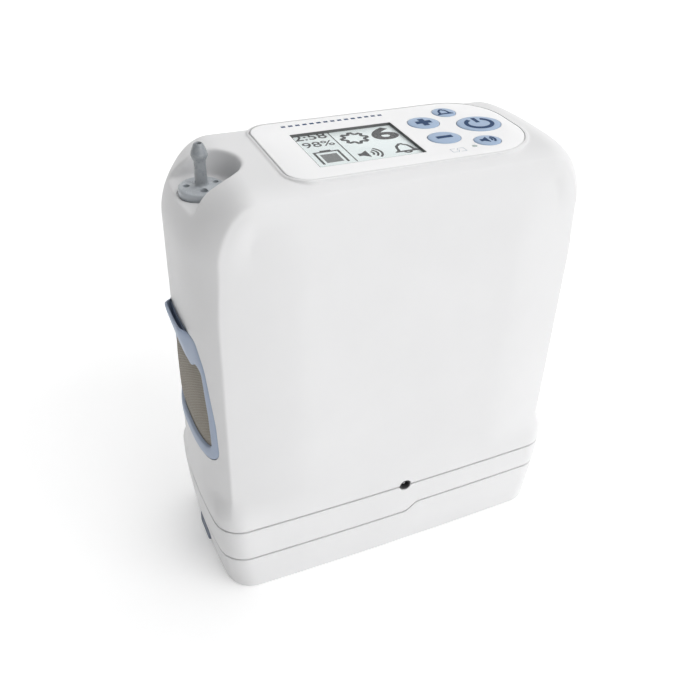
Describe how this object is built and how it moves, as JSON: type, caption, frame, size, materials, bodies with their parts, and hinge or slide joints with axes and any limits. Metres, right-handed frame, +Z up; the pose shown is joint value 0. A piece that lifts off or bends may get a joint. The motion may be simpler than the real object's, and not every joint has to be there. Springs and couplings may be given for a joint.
{
  "type": "portable oxygen concentrator",
  "caption": "Upright rounded box on a slide-off battery foot, with a display and keys on top, a barbed outlet nozzle in a corner pocket and a pull-out intake filter in each end.",
  "frame": {"origin": "on the table under the centre of the box that holds the object", "axes": "+X towards the right end seen from the front, -Y out of the front face, +Z up along the height"},
  "size_m": [0.19, 0.0824, 0.2152],
  "materials": {
    "shell_white": "fine moulded texture",
    "panel_white": "smooth satin",
    "key_blue": "satin, with navy marks",
    "filter_blue": "satin",
    "filter_screen": "woven screen",
    "filter_felt": "felt",
    "nozzle_grey": "smooth",
    "gasket_grey": "matt",
    "display_glass": "clear",
    "display_face": "pale bluish screen",
    "lamp_lens": "clear lens",
    "board_green": "solder mask",
    "rubber_black": "matt",
    "black_plastic": "matt",
    "grey_plastic": "matt",
    "tube_clear": "silicone",
    "cell_wrap": "shrink wrap",
    "steel": "brushed",
    "aluminium": "as cast",
    "copper": "drawn copper",
    "brass": "stamped"
  },
  "bodies": {
    "housing": {"upper_shell": "shell_white", "base_housing": "shell_white", "exhaust_grille": "shell_white", "control_panel": "panel_white", "display_gasket": "gasket_grey", "display_window": "display_glass", "display_module": "display_face", "keypad_board": "board_green", "indicator_lamp": "lamp_lens", "output_filter": "filter_felt", "dc_jack": "black_plastic", "dc_jack_pin": "steel", "chassis": "aluminium", "crankcase": "aluminium", "motor_can": "steel", "cylinder_head_left": "aluminium", "cylinder_head_right": "aluminium", "compressor_mount_front": "rubber_black", "compressor_mount_rear": "rubber_black", "fan_frame": "black_plastic", "sieve_column_front": "aluminium", "sieve_column_rear": "aluminium", "sieve_manifold": "grey_plastic", "product_tank": "aluminium", "valve_manifold": "aluminium", "valve_coil_front": "copper", "valve_coil_rear": "copper", "cooling_coil": "copper", "outlet_tube": "tube_clear", "main_board": "board_green", "pressure_sensor": "black_plastic", "battery_socket": "black_plastic", "chassis_screw_left_front": "steel", "chassis_screw_left_rear": "steel", "chassis_screw_right_front": "steel", "chassis_screw_right_rear": "steel"},
    "filter_left": {"filter_frame_left": "filter_blue", "filter_mesh_left": "filter_screen"},
    "filter_right": {"filter_frame_right": "filter_blue", "filter_mesh_right": "filter_screen"},
    "nozzle": {"outlet_nozzle": "nozzle_grey", "nozzle_seal": "rubber_black"},
    "crankshaft": {"crankshaft": "steel"},
    "piston_left": {"piston_left": "aluminium"},
    "piston_right": {"piston_right": "aluminium"},
    "fan_rotor": {"fan_rotor": "grey_plastic"},
    "valve_plunger_front": {"valve_plunger_front": "steel"},
    "valve_plunger_rear": {"valve_plunger_rear": "steel"},
    "battery_pack": {"battery_case": "shell_white", "battery_cover": "grey_plastic", "battery_contacts": "brass", "cell_pack": "cell_wrap", "foot_left": "rubber_black", "foot_right": "rubber_black"},
    "battery_latch": {"battery_latch": "filter_blue"},
    "key_plus": {"key_plus": "key_blue"},
    "key_minus": {"key_minus": "key_blue"},
    "key_bell": {"key_bell": "key_blue"},
    "key_speaker": {"key_speaker": "key_blue"},
    "key_power": {"key_power": "key_blue"}
  },
  "joints": [
    {"name": "key_plus_press", "type": "slide", "parent": "housing", "child": "key_plus", "axis": [0, 0, -1], "range_m": [0, 0.0005], "stiffness_N_per_m": 400},
    {"name": "key_minus_press", "type": "slide", "parent": "housing", "child": "key_minus", "axis": [0, 0, -1], "range_m": [0, 0.0005], "stiffness_N_per_m": 400},
    {"name": "key_bell_press", "type": "slide", "parent": "housing", "child": "key_bell", "axis": [0, 0, -1], "range_m": [0, 0.0005], "stiffness_N_per_m": 400},
    {"name": "key_speaker_press", "type": "slide", "parent": "housing", "child": "key_speaker", "axis": [0, 0, -1], "range_m": [0, 0.0005], "stiffness_N_per_m": 400},
    {"name": "key_power_press", "type": "slide", "parent": "housing", "child": "key_power", "axis": [0, 0, -1], "range_m": [0, 0.0005], "stiffness_N_per_m": 400},
    {"name": "battery_slide", "type": "slide", "parent": "housing", "child": "battery_pack", "axis": [1, 0, 0], "range_m": [0, 0.19]},
    {"name": "battery_latch_press", "type": "slide", "parent": "battery_pack", "child": "battery_latch", "axis": [1, 0, 0], "range_m": [0, 0.0012], "stiffness_N_per_m": 300},
    {"name": "filter_left_pull", "type": "slide", "parent": "housing", "child": "filter_left", "axis": [-1, 0, 0], "range_m": [0, 0.03]},
    {"name": "filter_right_pull", "type": "slide", "parent": "housing", "child": "filter_right", "axis": [1, 0, 0], "range_m": [0, 0.03]},
    {"name": "nozzle_lift", "type": "slide", "parent": "housing", "child": "nozzle", "axis": [0, 0, 1], "range_m": [0, 0.02]},
    {"name": "crankshaft_spin", "type": "hinge", "parent": "housing", "child": "crankshaft", "pos_m": [-0.034, 0, 0.057], "axis": [0, 1, 0], "continuous": true},
    {"name": "piston_left_stroke", "type": "slide", "parent": "housing", "child": "piston_left", "axis": [1, 0, 0], "range_m": [-0.0028, 0.0028]},
    {"name": "piston_right_stroke", "type": "slide", "parent": "housing", "child": "piston_right", "axis": [1, 0, 0], "range_m": [-0.0028, 0.0028]},
    {"name": "fan_spin", "type": "hinge", "parent": "housing", "child": "fan_rotor", "pos_m": [-0.064, 0, 0.108], "axis": [1, 0, 0], "continuous": true},
    {"name": "valve_front_stroke", "type": "slide", "parent": "housing", "child": "valve_plunger_front", "axis": [0, 0, 1], "range_m": [0, 0.0015], "stiffness_N_per_m": 200},
    {"name": "valve_rear_stroke", "type": "slide", "parent": "housing", "child": "valve_plunger_rear", "axis": [0, 0, 1], "range_m": [0, 0.0015], "stiffness_N_per_m": 200}
  ]
}
